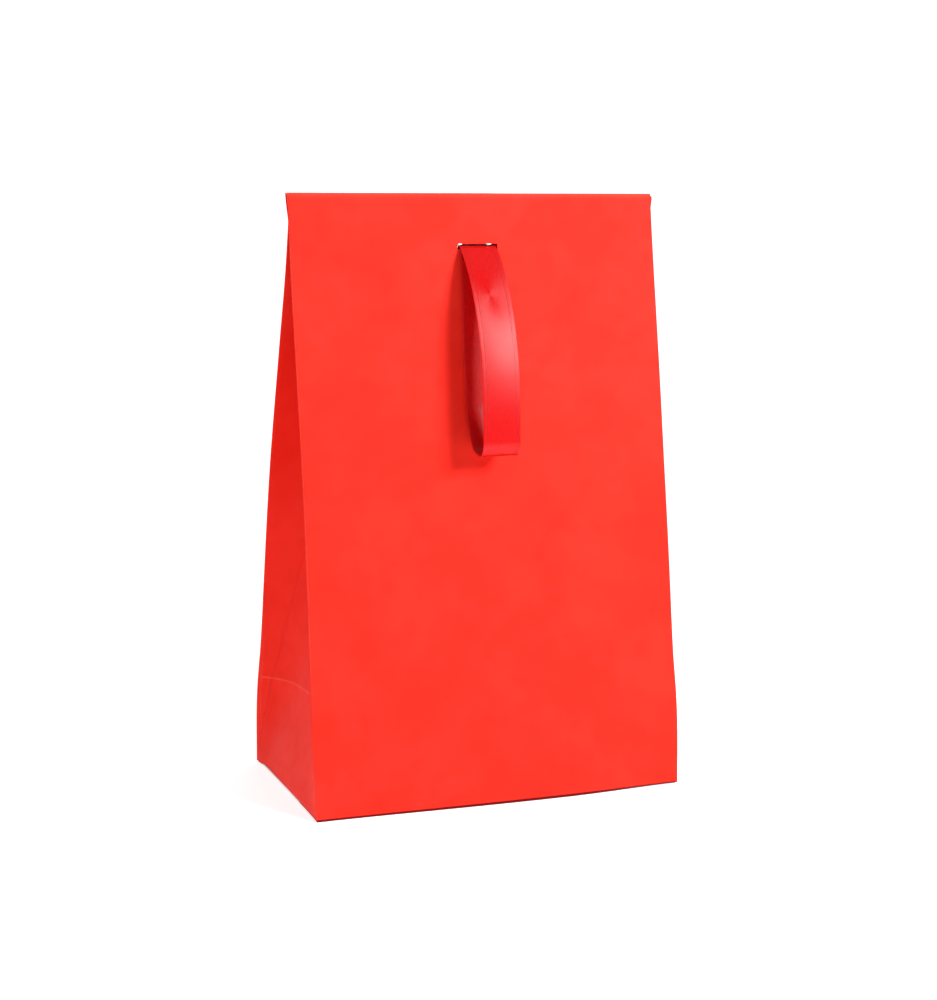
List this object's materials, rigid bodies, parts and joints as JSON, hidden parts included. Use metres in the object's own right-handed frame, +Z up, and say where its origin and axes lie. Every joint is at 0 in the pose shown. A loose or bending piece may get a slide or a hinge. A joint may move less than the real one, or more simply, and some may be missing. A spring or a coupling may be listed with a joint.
{
  "type": "gift bag",
  "caption": "Upright paper gift bag whose front and back panels meet at the top, with folded side gussets and a ribbon loop hanging from a slot in the front panel.",
  "frame": {"origin": "centre of the base, on the surface that the bag stands on", "axes": "+X right across the front panel, +Y from front to back, +Z up; the panel with the slot and the ribbon loop faces -Y"},
  "size_m": [0.15, 0.08, 0.2319],
  "materials": {
    "red_paper": "satin",
    "red_satin": "satin",
    "white_paper": "matte"
  },
  "bodies": {
    "base": {"base_front_flap": "red_paper", "base_rear_flap": "red_paper", "base_left_flap": "red_paper", "base_right_flap": "red_paper"},
    "front_panel": {"front_panel": "red_paper"},
    "back_panel": {"back_panel": "red_paper", "side_seam_flap": "red_paper", "ribbon_tails": "red_satin", "ribbon_patch": "white_paper"},
    "left_gusset": {"left_gusset": "red_paper"},
    "right_gusset": {"right_gusset": "red_paper"},
    "left_front_fold": {"left_front_fold": "red_paper"},
    "right_front_fold": {"right_front_fold": "red_paper"},
    "left_rear_fold": {"left_rear_fold": "red_paper"},
    "right_rear_fold": {"right_rear_fold": "red_paper"},
    "ribbon_loop": {"ribbon_loop": "red_satin"}
  },
  "joints": [
    {"name": "front_panel_hinge", "type": "hinge", "parent": "base", "child": "front_panel", "pos_m": [0, -0.03988, 0.00013], "axis": [1, 0, 0], "range_deg": [0, 9.58]},
    {"name": "back_panel_hinge", "type": "hinge", "parent": "base", "child": "back_panel", "pos_m": [0, 0.03988, 0.00013], "axis": [-1, 0, 0], "range_deg": [0, 9.58]},
    {"name": "left_gusset_hinge", "type": "hinge", "parent": "base", "child": "left_gusset", "pos_m": [-0.07487, 0, 0.00063], "axis": [0, -1, 0], "range_deg": [0, 9.8]},
    {"name": "right_gusset_hinge", "type": "hinge", "parent": "base", "child": "right_gusset", "pos_m": [0.07487, 0, 0.00063], "axis": [0, 1, 0], "range_deg": [0, 9.8]},
    {"name": "left_front_fold_crease", "type": "hinge", "parent": "front_panel", "child": "left_front_fold", "pos_m": [-0.07458, -0.03958, 0.00008], "axis": [0, 0.1664, 0.9861], "range_deg": [0, 90]},
    {"name": "right_front_fold_crease", "type": "hinge", "parent": "front_panel", "child": "right_front_fold", "pos_m": [0.07458, -0.03958, 0.00008], "axis": [0, -0.1664, -0.9861], "range_deg": [0, 90]},
    {"name": "left_rear_fold_crease", "type": "hinge", "parent": "back_panel", "child": "left_rear_fold", "pos_m": [-0.07458, 0.03958, 0.00008], "axis": [0, 0.1664, -0.9861], "range_deg": [0, 90]},
    {"name": "right_rear_fold_crease", "type": "hinge", "parent": "back_panel", "child": "right_rear_fold", "pos_m": [0.07458, 0.03958, 0.00008], "axis": [0, -0.1664, 0.9861], "range_deg": [0, 90]},
    {"name": "ribbon_loop_swing", "type": "hinge", "parent": "front_panel", "child": "ribbon_loop", "pos_m": [0, -0.00549, 0.21186], "axis": [-1, 0, 0], "range_deg": [0, 140]}
  ],
  "couplings": [
    {"joint": "back_panel_hinge", "follows": "front_panel_hinge", "ratio": 1},
    {"joint": "left_gusset_hinge", "follows": "front_panel_hinge", "ratio": 1.0232},
    {"joint": "right_gusset_hinge", "follows": "front_panel_hinge", "ratio": 1.0232},
    {"joint": "left_front_fold_crease", "follows": "front_panel_hinge", "ratio": 9.3969},
    {"joint": "right_front_fold_crease", "follows": "front_panel_hinge", "ratio": 9.3969},
    {"joint": "left_rear_fold_crease", "follows": "front_panel_hinge", "ratio": 9.3969},
    {"joint": "right_rear_fold_crease", "follows": "front_panel_hinge", "ratio": 9.3969}
  ]
}
